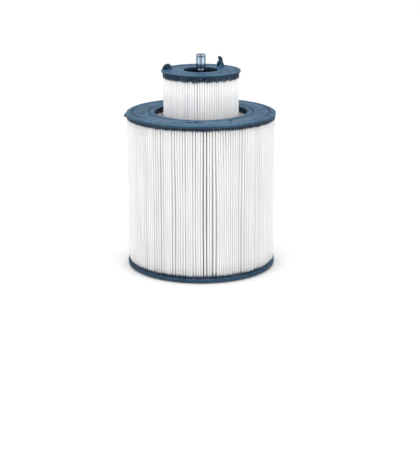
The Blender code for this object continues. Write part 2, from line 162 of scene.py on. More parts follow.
# %% A material and its nodes
def fresh_finish(name, roughness, metallic=0.0):
    """A new material, with its node tree and its shader."""
    look = bpy.data.materials.new(name)
    look.use_nodes = True
    shader = look.node_tree.nodes["Principled BSDF"]
    shader.inputs["Roughness"].default_value = roughness
    shader.inputs["Metallic"].default_value = metallic
    return look, look.node_tree, shader


def node(tree, kind, inputs=None, **settings):
    """A shader node. inputs holds numbers, colours or another node's output, by socket name."""
    made = tree.nodes.new("ShaderNode" + kind)
    for key, value in settings.items():
        setattr(made, key, value)
    for key, value in (inputs or {}).items():
        if isinstance(value, bpy.types.NodeSocket):
            tree.links.new(value, made.inputs[key])
        else:
            made.inputs[key].default_value = value
    return made


def joined(tree, output, shader, socket):
    """Link an output to one of the shader's sockets."""
    tree.links.new(output, shader.inputs[socket])


print("a finish starts from the Principled shader")


# %% Noise, ramp, blend and relief
def spot(tree, stretch=(1, 1, 1)):
    """Object coordinates, scaled along each axis."""
    here = node(tree, "TexCoord").outputs["Object"]
    return node(tree, "Mapping", {"Vector": here, "Scale": stretch}).outputs["Vector"]


def cloud(tree, scale, detail=2.0, stretch=(1, 1, 1), rough=0.5):
    """A noise value from 0 to 1, with that many blotches to the metre."""
    inputs = {"Vector": spot(tree, stretch), "Scale": scale, "Detail": detail, "Roughness": rough}
    return node(tree, "TexNoise", inputs).outputs["Fac"]


def ramp(tree, value, *stops):
    """Colours or grey levels along a value: each stop is (position, colour or level)."""
    made = node(tree, "ValToRGB", {"Fac": value})
    points = made.color_ramp.elements
    while len(points) < len(stops):
        points.new(0.5)
    for point, (place, colour) in zip(points, stops):
        point.position = place
        level = (colour, colour, colour) if isinstance(colour, (int, float)) else colour
        point.color = (*level, 1)
    return made.outputs["Color"]


def blend_colour(tree, share, first, second, mode="MIX"):
    """The second colour over the first, by a share from 0 to 1."""
    made = node(tree, "Mix", data_type="RGBA", blend_type=mode)
    for socket, value in ((0, share), (6, first), (7, second)):
        if isinstance(value, bpy.types.NodeSocket):
            tree.links.new(value, made.inputs[socket])
        else:
            made.inputs[socket].default_value = value
    return made.outputs[2]


def bump(tree, height, distance, strength=1.0, under=None):
    """Relief of that depth in metres, laid over another relief if one is given."""
    inputs = {"Height": height, "Distance": distance, "Strength": strength}
    if under is not None:
        inputs["Normal"] = under
    return node(tree, "Bump", inputs).outputs["Normal"]


print("patterns are measured in metres")

# %% [markdown]
# ## Filter cloth
#
# The cloth is spunbonded polyester: bright, matt and slightly uneven. Long fine streaks run the way
# the cloth was spun, soft blotches change its tone between folds, and rows of tiny pressed points
# bond it. Plain white would pass from afar but looks like paper close up. The streaks are a noise
# that is squeezed across and stretched along Z, and cell noise makes the points. A little sheen
# lifts the folds' edges. The narrow cartridge and the wide one's inner pack take a whiter copy of
# the same cloth, which paints in light that their shaded places lack.


# %% Filter cloth finish
def make_cloth(name, dull, bright):
    """Spunbonded cloth between two near-whites."""
    look, tree, shader = fresh_finish(name, 0.88)
    streaks = cloud(tree, 420, 3, (1, 1, 0.03), 0.6)
    blotches = cloud(tree, 26, 3, (1, 1, 0.25))
    tone = ramp(tree, blotches, (0.3, dull), (0.7, bright))
    lines = ramp(tree, streaks, (0.25, 0.9), (0.6, 1.0))
    joined(tree, blend_colour(tree, 0.6, tone, lines, "MULTIPLY"), shader, "Base Color")
    fibres = cloud(tree, 1500, 4, (1, 1, 0.35), 0.7)
    points = node(tree, "TexVoronoi", {"Vector": spot(tree), "Scale": 900.0}).outputs["Distance"]
    woven = bump(tree, fibres, 0.00006, 0.5)
    woven = bump(tree, points, 0.00005, 0.35, woven)
    joined(tree, bump(tree, streaks, 0.00012, 0.5, woven), shader, "Normal")
    shader.inputs["Sheen Weight"].default_value = 0.15
    shader.inputs["Sheen Roughness"].default_value = 0.6
    shader.inputs["Specular IOR Level"].default_value = 0.25
    return look


FILTER_CLOTH = make_cloth("filter_cloth", (0.745, 0.745, 0.750), (0.815, 0.810, 0.808))
# A whiter copy of the same cloth: painted light for the packs that stand in shade.
PAINTED_LIGHT_CLOTH = make_cloth("painted_light_cloth", (0.875, 0.875, 0.880), (0.935, 0.930, 0.928))
print("finishes:", FILTER_CLOTH.name, PAINTED_LIGHT_CLOTH.name)

# %% [markdown]
# ## Cast caps, resin and levers
#
# The caps are cast from blue polyurethane. Casting leaves cloudy swirls in the colour, a soft
# uneven gloss and a faint orange-peel surface. Light is painted into the colour as well: a pale
# painted highlight along the rounded upper edges and over the front of each cap, and painted shade
# on the sides. Such marks could be painted by hand, but the normal's Z already tells these places
# apart: near 0 on a side, near 1 on top and in between on a rounded edge. So one recipe suits every
# cast piece. The resin between the folds is darker and greyer, and so is the levers' plastic.

# %% Cast recipe
# The pale blue-grey of the painted highlights on rounded edges and over the front of the caps.
PAINTED_HIGHLIGHT = (0.20, 0.34, 0.47, 1)


def sums(tree, operation, first, second):
    """One sum of two values: ADD or MULTIPLY."""
    made = node(tree, "Math", operation=operation)
    for socket, value in enumerate((first, second)):
        if isinstance(value, bpy.types.NodeSocket):
            tree.links.new(value, made.inputs[socket])
        else:
            made.inputs[socket].default_value = value
    return made.outputs[0]


def make_cast(name, deep, pale, teal, roughness, peel, side_shade=0.38, edge_highlight=0.5, front_highlight=0.6):
    """A cast plastic whose colour drifts between tones, with painted highlights and painted side
    shade.
    """
    look, tree, shader = fresh_finish(name, roughness)
    swirls = cloud(tree, 70, 6, (1, 1, 2.5), 0.68)
    drift = cloud(tree, 14, 3)
    swirls, drift = sums(tree, "MULTIPLY", swirls, 0.7), sums(tree, "MULTIPLY", drift, 0.3)
    mixed = sums(tree, "ADD", swirls, drift)
    tone = ramp(tree, mixed, (0.40, deep), (0.60, pale))
    patches = ramp(tree, cloud(tree, 30, 3, (1, 1, 1), 0.6), (0.52, 0.0), (0.68, 0.5))
    tone = blend_colour(tree, patches, tone, (*teal, 1))
    # Painted highlight: the colour grows paler towards the front (-Y), dappled by a noise, as if lit
    # there.
    here = node(tree, "SeparateXYZ", {"Vector": spot(tree)})
    forward = sums(tree, "MULTIPLY", here.outputs["Y"], -5.0)
    front_highlight_share = ramp(tree, forward, (0.35, 0.0), (0.95, front_highlight))
    tone = blend_colour(tree, sums(tree, "MULTIPLY", front_highlight_share, cloud(tree, 22, 3)), tone, PAINTED_HIGHLIGHT)
    # Painted shade: faces that turn sideways are darkened by the side shade factor.
    facing = node(tree, "TexCoord").outputs["Normal"]
    normal = node(tree, "SeparateXYZ", {"Vector": facing}).outputs["Z"]
    sides = ramp(tree, normal, (0.3, side_shade), (0.7, 1.0))
    tone = blend_colour(tree, 1.0, tone, sides, "MULTIPLY")
    # Painted highlight: a pale line on rounded edges, where the normal's Z lies between side and
    # top.
    edges = ramp(tree, normal, (0.45, 0.0), (0.62, edge_highlight), (0.86, edge_highlight), (0.97, 0.0))
    joined(tree, blend_colour(tree, edges, tone, PAINTED_HIGHLIGHT), shader, "Base Color")
    gloss = ramp(tree, cloud(tree, 160, 3), (0.3, roughness - 0.1), (0.7, roughness + 0.1))
    joined(tree, gloss, shader, "Roughness")
    skin = bump(tree, cloud(tree, 260, 2), peel, 0.6)
    joined(tree, bump(tree, cloud(tree, 2200, 2), 0.00002, 0.4, skin), shader, "Normal")
    shader.inputs["Specular IOR Level"].default_value = 0.09
    return look


# This prints the colour of the painted highlights.
print("rubbed edges:", PAINTED_HIGHLIGHT[:3])

# %% Cast finishes
CAST_CAP = make_cast(
    "cast_cap", deep=(0.008, 0.048, 0.112), pale=(0.042, 0.148, 0.280), teal=(0.036, 0.142, 0.185),
    roughness=0.38, peel=0.0004,
)
CAST_RESIN = make_cast(
    "cast_resin", deep=(0.014, 0.024, 0.039), pale=(0.060, 0.088, 0.128),
    teal=(0.038, 0.062, 0.078), roughness=0.36, peel=0.0006, side_shade=1.0, edge_highlight=0.1, front_highlight=0.0,
)
LEVER_PLASTIC = make_cast(
    "lever_plastic", deep=(0.012, 0.026, 0.048), pale=(0.060, 0.108, 0.165),
    teal=(0.036, 0.080, 0.098), roughness=0.36, peel=0.0002, side_shade=0.9, edge_highlight=0.8, front_highlight=0.0,
)
print("finishes:", CAST_CAP.name, CAST_RESIN.name, LEVER_PLASTIC.name)

# %% [markdown]
# ## Moulded core
#
# The cores are plain injection-moulded plastic, off-white and half matt. They show only through the
# gaps between other pieces, so a slow drift of tone and a faint skin are enough.


# %% Core finish
def make_core():
    """Off-white plastic with a faint drift of tone."""
    look, tree, shader = fresh_finish("moulded_core", 0.5)
    tone = ramp(tree, cloud(tree, 40, 3), (0.3, (0.60, 0.62, 0.64)), (0.7, (0.72, 0.73, 0.74)))
    joined(tree, tone, shader, "Base Color")
    joined(tree, bump(tree, cloud(tree, 900, 3), 0.00004, 0.5), shader, "Normal")
    return look


MOULDED_CORE = make_core()
print("finish:", MOULDED_CORE.name)

# %% [markdown]
# ## Sealing rubber
#
# The sealing rings are black rubber dusted with a little talc. Colour, roughness and relief could
# each have a noise, but then they would not agree. Dust is paler, rougher and higher all at once,
# so one fine noise drives all three.


# %% Rubber finish
def make_rubber():
    """Black rubber under a little talc, which is paler, rougher and higher."""
    look, tree, shader = fresh_finish("seal_rubber", 0.62)
    talc = cloud(tree, 700, 5, rough=0.7)
    tone = ramp(tree, talc, (0.45, (0.012, 0.012, 0.013)), (0.8, (0.09, 0.09, 0.095)))
    joined(tree, tone, shader, "Base Color")
    joined(tree, ramp(tree, talc, (0.3, 0.5), (0.8, 0.85)), shader, "Roughness")
    joined(tree, bump(tree, talc, 0.00004, 0.5), shader, "Normal")
    return look


SEAL_RUBBER = make_rubber()
print("finish:", SEAL_RUBBER.name)

# %% [markdown]
# ## Turned steel
#
# The rod and nut are turned stainless steel, and the tool leaves fine rings round them. An
# anisotropic shader can suggest these, but it depends on the mesh's tangents. Here the relief is
# real: a noise that hardly changes across X and Y and repeats along Z. The pins are a duller steel.


# %% Steel finishes
def make_steel(name, tones, roughness):
    """Turned metal: rings from the tool, and tones worn between two greys."""
    look, tree, shader = fresh_finish(name, roughness, 1.0)
    rings = cloud(tree, 1600, 3, (0.02, 0.02, 1))
    wear = cloud(tree, 90, 4, (1, 1, 0.6), 0.6)
    tone = ramp(tree, wear, (0.3, tones[0]), (0.7, tones[1]))
    joined(tree, tone, shader, "Base Color")
    gloss = ramp(tree, wear, (0.3, roughness - 0.04), (0.75, roughness + 0.06))
    joined(tree, gloss, shader, "Roughness")
    joined(tree, bump(tree, rings, 0.00002, 0.35), shader, "Normal")
    return look


TURNED_STEEL = make_steel("turned_steel", ((0.19, 0.25, 0.32), (0.29, 0.36, 0.44)), 0.11)
DULL_STEEL = make_steel("dull_steel", ((0.06, 0.07, 0.08), (0.12, 0.14, 0.16)), 0.45)
print("finishes:", TURNED_STEEL.name, DULL_STEEL.name)

# %% [markdown]
# ## Making a piece
#
# Each piece is a bmesh that becomes one object at the origin, with its place in its mesh. Edges
# that turn sharply stay crisp and the others are shaded smooth; a bevel on every edge would do the
# same with many more faces. Then the piece is told which body it rides on and which frame nodes it
# stands for, and it gets its finish as its material.

# %% Piece helper
CRISP_ANGLE = math.radians(34)


def piece(name, bm, look, body, nodes=()):
    """The bmesh as an object that rides on a body and stands for the frame's nodes."""
    bmesh.ops.remove_doubles(bm, verts=bm.verts, dist=1e-6)
    bmesh.ops.recalc_face_normals(bm, faces=bm.faces)
    for face in bm.faces:
        face.smooth = True
    for edge in bm.edges:
        edge.smooth = len(edge.link_faces) != 2 or edge.calc_face_angle(0) < CRISP_ANGLE
    mesh = bpy.data.meshes.new(name)
    bm.to_mesh(mesh)
    bm.free()
    mesh.materials.append(look)
    made = bpy.data.objects.new(name, mesh)
    bpy.context.collection.objects.link(made)
    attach(made, body)
    if nodes:
        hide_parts(*nodes)
    print(f"{name}: {len(mesh.vertices)} vertices, {len(mesh.polygons)} faces")
    return made


print("edges stay crisp past", round(math.degrees(CRISP_ANGLE)), "degrees")

# %% [markdown]
# ## Turning an outline
#
# Caps, rings, rod and nut are all round. They could be built up from cylinders, but a lathe or a
# mould works from an outline, and so does Spin: it turns an outline of (r, z) points round Z. Each
# corner may carry its own small rounding first, so that every edge catches the light.


# %% Outline and turning helpers
def polar(radius, turn, z=0.0):
    """A point at that radius and angle."""
    return Vector((radius * math.cos(turn), radius * math.sin(turn), z))


def softened(corners, cut=0.6 * MM, steps=3):
    """A closed outline whose corners are rounded. Each corner is (r, z) or (r, z, its own cut)."""
    outline = []
    for i, corner in enumerate(corners):
        here = Vector(corner[:2])
        before = Vector(corners[i - 1][:2])
        after = Vector(corners[(i + 1) % len(corners)][:2])
        size = corner[2] if len(corner) > 2 else cut
        if size <= 0:
            outline.append(here)
            continue
        start = here + (before - here).normalized() * min(size, 0.45 * (before - here).length)
        end = here + (after - here).normalized() * min(size, 0.45 * (after - here).length)
        for k in range(steps + 1):
            t = k / steps
            outline.append(start * (1 - t) ** 2 + here * 2 * t * (1 - t) + end * t * t)
    return outline


def turn_outline(outline, steps, closed=True):
    """A bmesh: the outline of (r, z) points turned once round Z."""
    bm = bmesh.new()
    points = [bm.verts.new((r, 0, z)) for r, z in outline]
    pairs = list(zip(points, points[1:]))
    if closed:
        pairs.append((points[-1], points[0]))
    edges = [bm.edges.new(pair) for pair in pairs]
    bmesh.ops.spin(
        bm, geom=points + edges, axis=(0, 0, 1), cent=(0, 0, 0), angle=math.tau, steps=steps,
        use_merge=True,
    )
    bmesh.ops.remove_doubles(bm, verts=bm.verts, dist=1e-6)
    bmesh.ops.recalc_face_normals(bm, faces=bm.faces)
    return bm


print("outlines are points of (r, z), turned round Z")

# %% [markdown]
# ## One fold of cloth
#
# A pleat pack is one long sheet, folded in and out hundreds of times and joined into a ring. It
# could be one fold repeated by an Array modifier, but then every fold would be alike, and real
# folds never are. So a circle with eight points to each fold is pushed into shape: rounded tips on
# the side that faces the dirty water, and tight roots on the other.

# %% The shape of one fold
POINTS = 8  # around one fold
CLOTH = 0.55 * MM


def fold_point(k, tip, root, pitch, fill):
    """Point k of one fold: (radius, place along the pitch from the fold's middle)."""
    side = 1 if tip > root else -1
    half = 0.5 * fill * pitch
    shoulder = tip - side * 2.1 * MM
    brow = tip - side * 0.45 * MM
    heel = root + side * 1.1 * MM
    return [
        (root, -0.5 * pitch),
        (heel, -0.5 * pitch + 0.35 * MM),
        (shoulder, -half),
        (brow, -0.62 * half),
        (tip, 0.0),
        (brow, 0.62 * half),
        (shoulder, half),
        (heel, 0.5 * pitch - 0.35 * MM),
    ][k]


print("points round a fold:", POINTS, "and cloth in mm:", CLOTH / MM)

# %% [markdown]
# ## Uneven gaps
#
# Real folds bunch together, a dark gap opens beside each bunch, some stand back a little, and the
# gaps widen and narrow as they go up. Moving each fold by chance would make some overlap. Instead,
# each block of folds shares out its spare room unevenly, and smooth noise changes the shares with
# height, so the total stays the same and no fold runs into the next.

# %% Where the folds stand
BLOCK = 8  # folds that share out their gaps among themselves


def tip_places(looseness, height, seed, pitch, width):
    """Where every fold's tip stands round the ring, in metres, at one height from 0 to 1."""
    folds = len(looseness)
    places = []
    for first in range(0, folds, BLOCK):
        group = range(first, min(first + BLOCK, folds))
        gaps = []
        for fold in group:
            change = 1 + 0.9 * noise.noise(Vector((fold * 3.1, height * 1.5, seed)))
            gaps.append(looseness[fold] * change)
        share = len(gaps) * (pitch - width) / sum(gaps)
        at = first * pitch
        for gap in gaps:
            places.append(at + (gap * share + width) / 2)
            at += gap * share + width
    return places


def stand_back(fold, height, seed):
    """How far a fold's tip stands back from the ring, at one height."""
    return 1.2 * MM * max(0.5 + noise.noise(Vector((fold * 1.37, height * 1.3, seed + 21.7))), 0.0)


print("folds that share their gaps:", BLOCK)

# %% [markdown]
# ## The whole pack
#
# The circle is extruded upwards row by row, and each point is put in its place. Solidify then gives
# the sheet its thickness, which keeps the mesh light until the end.


# %% Pleat pack
def pleat_pack(name, tip, root, low, high, folds, fill, seed, look, body, nodes, rows=10):
    """A folded ring of cloth between two heights, with its tips at one radius."""
    count = folds * POINTS
    bm = bmesh.new()
    bmesh.ops.create_circle(bm, segments=count, radius=1.0)
    edges = bm.edges[:]
    for row in range(1, rows + 1):
        grown = bmesh.ops.extrude_edge_only(bm, edges=edges)["geom"]
        edges = [g for g in grown if isinstance(g, bmesh.types.BMEdge)]
        rising = [g for g in grown if isinstance(g, bmesh.types.BMVert)]
        bmesh.ops.translate(bm, vec=(0, 0, 1 / rows), verts=rising)
    pitch = math.tau * tip / folds
    side = 1 if tip > root else -1
    chance = random.Random(seed)
    looseness = [0.06 + chance.random() ** 3 for _ in range(folds)]
    tips = [tip_places(looseness, row / rows, seed, pitch, fill * pitch) for row in range(rows + 1)]
    for vert in bm.verts:  # each still stands on the plain circle, so its angle tells its fold
        place = round(math.atan2(vert.co.y, vert.co.x) / math.tau * count) % count
        fold, k = divmod(place, POINTS)
        height = vert.co.z
        radius, aside = fold_point(k, tip, root, pitch, fill)
        share = (radius - root) / (tip - root)
        middle = (fold + 0.5) * pitch
        lean = tips[round(height * rows)][fold] - middle
        radius -= side * stand_back(fold, height, seed) * share
        turn = (middle + aside + lean * share) / tip
        vert.co = polar(radius, turn, low + height * (high - low))
    made = piece(name, bm, look, body, nodes)
    wall = made.modifiers.new("cloth thickness", "SOLIDIFY")
    wall.thickness = CLOTH
    wall.offset = 0
    return made


# %% [markdown]
# ## Resin that climbs between the folds
#
# The ends of the cloth stand in a ring of cast resin. The mould had a row of ribs, which left a row
# of dark notches round the ring's edge. Below them the wet resin crept down the folds and set with
# a ragged lip: lower between two folds, higher at a fold's tip. Loose teeth could be set round a
# plain ring, but they would leave seams. So one section is turned with six steps to a notch, then
# the notches are pushed in and the lip is pulled up and down, and the ring stays closed.

# %% Notches and lip
NOTCH_STEPS = 6
LIP = 1.8 * MM


def notch_depth(step, seed):
    """How deep the ring's edge is notched at one step."""
    notch, k = divmod(step, NOTCH_STEPS)
    size = 0.75 + 0.9 * noise.noise(Vector((notch * 1.9, seed, 3.1)))
    late = noise.noise(Vector((notch * 2.9, seed, 8.2))) > 0.0
    shape = (0, 0, 0.7, 1, 1, 0.5) if late else (0, 0.6, 1, 1, 0.4, 0)
    return 4.6 * MM * min(max(size, 0.1), 1.0) * shape[k]


def lip_reach(step, seed):
    """How far down the lip reaches at one step: 1 is the ring's full height."""
    notch, k = divmod(step, NOTCH_STEPS)
    creep = (1.10, 1.0, 0.86, 0.80, 0.86, 1.0)[k]
    uneven = 0.20 * noise.noise(Vector((notch * 2.3, seed, 9.4)))
    return creep + uneven + 0.06 * noise.noise(Vector((step * 1.7, seed, 5.5)))


print("steps to a notch:", NOTCH_STEPS)


# %% Toothed ring
def toothed_ring(name, inner, outer, back_face, lip_end, notches, seed, body, nodes):
    """A resin ring between two radii, notched and ragged along its outer and inner edges."""
    steps = notches * NOTCH_STEPS
    span = lip_end - back_face
    heights = [back_face + span * t for t in (0.06, 0.14, 0.60, 0.72, 1.0)]
    plate = back_face + span * 0.66
    edge = [(outer, z) for z in heights]
    lip = [(outer - LIP, lip_end), (outer - LIP - MM, plate)]
    rim = [(inner, z) for z in heights]
    inner_lip = [(inner + LIP, lip_end), (inner + LIP + MM, plate)]
    outline = [(outer, back_face), *edge, *lip]
    outline += [*reversed(inner_lip), *reversed(rim), (inner, back_face)]
    bm = turn_outline([Vector(p) for p in outline], steps)
    middle = (inner + outer) / 2
    for vert in bm.verts:
        radius = vert.co.xy.length
        level = (vert.co.z - back_face) / span
        step = round(math.atan2(vert.co.y, vert.co.x) / math.tau * steps) % steps
        outside = radius > middle
        own_seed = seed if outside else seed + 50
        if 0.1 < level < 0.65:
            depth = notch_depth(step, own_seed)
            vert.co.xy *= (radius - depth if outside else radius + depth) / radius
        elif level > 0.99:
            vert.co.z = back_face + span * lip_reach(step, own_seed)
    return piece(name, bm, CAST_RESIN, body, nodes)


print("lip thickness in mm:", LIP / MM)

# %% [markdown]
# ## The wide cartridge's sizes
#
# Radii and heights are read from the frame's nodes, so the pieces fit it. Only sizes that a node's
# box can't tell, such as a hole or a groove, are written as numbers.


# %% Sizes of the wide cartridge
def levels(node_name):
    """Lowest and highest z of a frame node."""
    low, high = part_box(node_name)
    return low.z, high.z


def outer_radius(node_name):
    """How far a round frame node reaches from the axis."""
    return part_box(node_name)[1].x


LARGE_HOLE = 124 * MM
LARGE_RIM = outer_radius("large_top_cap")
LARGE_TOP = levels("large_top_cap")[1]
UNDER_LARGE_CAP = levels("large_top_potting")[1]
print("wide cap in mm:", round(2 * LARGE_RIM / MM, 1), "across,", round(LARGE_TOP / MM, 1), "high")

# %% [markdown]
# ## Cutting, joining and softening
#
# Some shapes can't be turned: outlet slots, spokes, a lug. Their faces could be cut and bridged by
# hand, but a Boolean modifier cuts or joins in one step. Its result is copied back into the piece,
# so no cutter is left in the scene. Bevels here are set as the editor sets them, because the
# operator's own defaults differ.


# %% Bevel helpers
def bevelled(bm, edges, offset, segments):
    """Soften some edges, with the settings that the editor uses."""
    bmesh.ops.bevel(
        bm, geom=edges, offset=offset, offset_type="OFFSET", segments=segments, profile=0.5,
        affect="EDGES", material=-1, clamp_overlap=True,
    )


def level_edges(bm):
    """The edges that lie flat, round the foot and the top of a prism."""
    return [e for e in bm.edges if len({round(v.co.z, 6) for v in e.verts}) == 1]


print("bevels have a profile of 0.5")


# %% Boolean helper
def carve(bm, parts, operation):
    """The bmesh after the other bmeshes are cut from it or joined to it."""
    scratch = []

    def as_object(shape):
        bmesh.ops.recalc_face_normals(shape, faces=shape.faces)
        mesh = bpy.data.meshes.new("scratch")
        shape.to_mesh(mesh)
        shape.free()
        made = bpy.data.objects.new("scratch", mesh)
        bpy.context.collection.objects.link(made)
        scratch.append(made)
        return made

    target = as_object(bm)
    for part in parts:
        step = target.modifiers.new("step", "BOOLEAN")
        step.operation = operation
        step.solver = "EXACT"
        step.object = as_object(part)
    graph = bpy.context.evaluated_depsgraph_get()
    carved = bpy.data.meshes.new_from_object(target.evaluated_get(graph))
    result = bmesh.new()
    result.from_mesh(carved)
    for made in scratch:
        bpy.data.objects.remove(made)
    bpy.data.meshes.remove(carved)
    return result


print("cutters are removed once they have cut")

# %% [markdown]
# ## The locating lug
#
# A blunt lug stands out from the wide cap's rim on the left, and locates the cartridge in its tank.
# It isn't round, so it can't come from the turned outline. It is a flat outline pulled up into a
# prism, with softened edges, and its root lies inside the rim, where the join can't show.

# %% Locating lug
LUG_ANGLE = math.radians(190)
LUG_TIP = 8 * MM  # the radius of its blunt tip
LUG_REACH = 199 * MM  # from the axis to the middle of that radius
LUG_ROOT = ((190 * MM, 34.6 * MM), (195.7 * MM, 36.3 * MM))


def arc(radius, first, last, count, centre=(0.0, 0.0)):
    """Points on an arc, with angles in degrees."""
    turns = [math.radians(first + (last - first) * i / (count - 1)) for i in range(count)]
    return [(centre[0] + radius * math.cos(t), centre[1] + radius * math.sin(t)) for t in turns]


def raised(outline, foot, height):
    """A thin solid with that outline of (x, y) points, standing on z = foot."""
    bm = bmesh.new()
    face = bm.faces.new([bm.verts.new((x, y, foot)) for x, y in outline])
    grown = bmesh.ops.extrude_face_region(bm, geom=[face])["geom"]
    top = [g for g in grown if isinstance(g, bmesh.types.BMVert)]
    bmesh.ops.translate(bm, vec=(0, 0, height), verts=top)
    bmesh.ops.recalc_face_normals(bm, faces=bm.faces)
    return bm


def make_lug(foot, height):
    """A blunt wedge that points away from the axis, with softened edges."""
    near_side = [(x, -y) for x, y in LUG_ROOT]
    outline = [*near_side, *arc(LUG_TIP, -17, 17, 9, (LUG_REACH, 0)), *reversed(LUG_ROOT)]
    lug = raised(outline, foot, height)
    bevelled(lug, level_edges(lug), 1.0 * MM, 3)
    bmesh.ops.rotate(lug, matrix=Matrix.Rotation(LUG_ANGLE, 3, "Z"), verts=lug.verts)
    return lug


print("lug stands out in mm:", round((LUG_REACH + LUG_TIP - LARGE_RIM) / MM, 1))

# %% [markdown]
# ## The wide cartridge's top cap
#
# The top cap closes the ring of cloth. It is cast in one piece: a flat ring with two fine grooves
# and a stepped rim. It is turned from its outline, which puts in the grooves and the step at once,
# where cutting them later would leave ragged faces. A very slight swell in the casting keeps
# reflections from looking machine-made.

# %% Casting helpers
RIM_STEP = 2 * MM
RIM_HEIGHT = 6 * MM
GROOVES = (140 * MM, 184 * MM)


def swell(bm, amount, scale):
    """A slight unevenness in z, as casting leaves it."""
    for vert in bm.verts:
        vert.co.z += amount * noise.noise(Vector((vert.co.x, vert.co.y, 0)) * scale)


def grooved(radius, top, width=1.9 * MM, depth=3.0 * MM):
    """The corners of a round-bottomed groove, from the inside out."""
    return [
        (radius - width, top, 0.4 * MM),
        (radius - 0.5 * width, top - depth, 0.4 * MM),
        (radius + 0.5 * width, top - depth, 0.4 * MM),
        (radius + width, top, 0.4 * MM),
    ]


print("groove radii in mm:", [round(radius / MM) for radius in GROOVES])


# %% Wide top cap
def make_large_top_cap():
    """The grooved ring with its lug."""
    step_z = LARGE_TOP - RIM_STEP
    corners = [(LARGE_HOLE, LARGE_TOP, 1.8 * MM)]
    for radius in GROOVES:
        corners += grooved(radius, LARGE_TOP)
    corners += [
        (LARGE_RIM - 3.6 * MM, LARGE_TOP, 0.9 * MM),
        (LARGE_RIM - 3.2 * MM, step_z, 0.3 * MM),
        (LARGE_RIM, step_z, 1.3 * MM),
        (LARGE_RIM, step_z - RIM_HEIGHT, 1.0 * MM),
        (LARGE_HOLE, step_z - RIM_HEIGHT, 0.6 * MM),
    ]
    cap = turn_outline(softened(corners), 240)
    lug = make_lug(step_z - RIM_HEIGHT + 0.2 * MM, RIM_HEIGHT - 0.4 * MM)
    cap = carve(cap, [lug], "UNION")
    swell(cap, 0.16 * MM, 18)
    return piece(
        "large_top_cap_cast", cap, CAST_CAP, "large_module", ["large_top_cap"]
    )


make_large_top_cap()

# %% [markdown]
# ## Plain moulded marks
#
# Cast caps carry a few marks. Here they are plain shapes only: short bars, a round dial with tick
# marks and no figures, and two arrowheads that point outwards. A bump in the finish could draw
# them, but real relief holds up from every side. Each is a thin raised solid, and its foot is sunk
# into the cap. It takes the darker resin finish, which paints in the shade that makes such marks
# look dark.

# %% Bars and dial
MARK_RADIUS = 160 * MM  # from the axis to the row of marks
MARK_FOOT = LARGE_TOP - 0.5 * MM
MARK_HEIGHT = 1.9 * MM
MARK_MIDDLE = MARK_FOOT + MARK_HEIGHT / 2


def solid_box(size, place, turn=0.0, bevel=0.0):
    """A bevelled box as a bmesh, turned about Z."""
    bm = bmesh.new()
    bmesh.ops.create_cube(bm, size=1.0)
    bmesh.ops.scale(bm, vec=size, verts=bm.verts)
    if bevel:
        upright = [e for e in bm.edges if abs((e.verts[0].co - e.verts[1].co).z) > size[2] / 2]
        bevelled(bm, upright, bevel, 5)
    bmesh.ops.rotate(bm, matrix=Matrix.Rotation(turn, 3, "Z"), verts=bm.verts)
    bmesh.ops.translate(bm, vec=place, verts=bm.verts)
    return bm


def bars(lengths):
    """Short bars in a row. The lengths are in mm."""
    made = []
    for i, length in enumerate(lengths):
        turn = math.radians(-98.5 - 2.2 * i)
        size = (length * MM, 2.6 * MM, MARK_HEIGHT)
        made.append(solid_box(size, polar(MARK_RADIUS, turn, MARK_MIDDLE), turn + 0.5))
    return made


def dial():
    """A thin ring with twelve ticks inside it."""
    centre = polar(MARK_RADIUS, math.radians(-94.5))
    outer, inner, top = 7.0 * MM, 5.8 * MM, MARK_FOOT + MARK_HEIGHT
    corners = [(outer, MARK_FOOT), (outer, top), (inner, top), (inner, MARK_FOOT)]
    ring = turn_outline(softened(corners, 0.25 * MM), 40)
    bmesh.ops.translate(ring, vec=centre, verts=ring.verts)
    ticks = []
    for i in range(12):
        turn = i * math.tau / 12
        place = centre + polar(3.8 * MM, turn, MARK_MIDDLE)
        ticks.append(solid_box((1.6 * MM, 0.7 * MM, MARK_HEIGHT), place, turn))
    return [ring, *ticks]


print("marks stand in mm:", round((MARK_FOOT + MARK_HEIGHT - LARGE_TOP) / MM, 1))


# %% Arrowheads and the finished marks
def arrowhead(turn, size):
    """An arrowhead that points outwards."""
    back, half, front = -4 * size * MM, 5 * size * MM, 6 * size * MM
    head = raised([(back, half), (back, -half), (front, 0)], MARK_FOOT, MARK_HEIGHT)
    bmesh.ops.rotate(head, matrix=Matrix.Rotation(turn, 3, "Z"), verts=head.verts)
    bmesh.ops.translate(head, vec=polar(MARK_RADIUS, turn), verts=head.verts)
    return head


def joined_shapes(shapes):
    """Several bmeshes as one."""
    whole = bmesh.new()
    for shape in shapes:
        mesh = bpy.data.meshes.new("scratch")
        shape.to_mesh(mesh)
        shape.free()
        whole.from_mesh(mesh)
        bpy.data.meshes.remove(mesh)
    return whole


arrows = [arrowhead(math.radians(-90), 0.8), arrowhead(math.radians(-61), 1.3)]
marks = joined_shapes([*bars((11, 16, 8, 13, 6)), *dial(), *arrows])
# The darker resin finish paints shade onto the raised marks.
piece("large_cap_marks", marks, CAST_RESIN, "large_module")

# %% [markdown]
# ## The wide cartridge's resin
#
# Under the top cap one ring of resin spans both packs. At the foot there are two rings, because the
# clean water leaves through a channel between them. All three are turned and notched in the same
# way, each with its own seed, so that no two edges match.

# %% Wide resin rings
LARGE_EDGE = outer_radius("large_top_potting")
LARGE_FOLDS = 176
LARGE_INNER_FOLDS = 118
LARGE_CORE_OUT = outer_radius("large_outer_core")
LARGE_CORE_IN = 153.2 * MM
FOOT_LOW = levels("large_bottom_outer_potting")[0]
FOOT_END = FOOT_LOW + 7.5 * MM

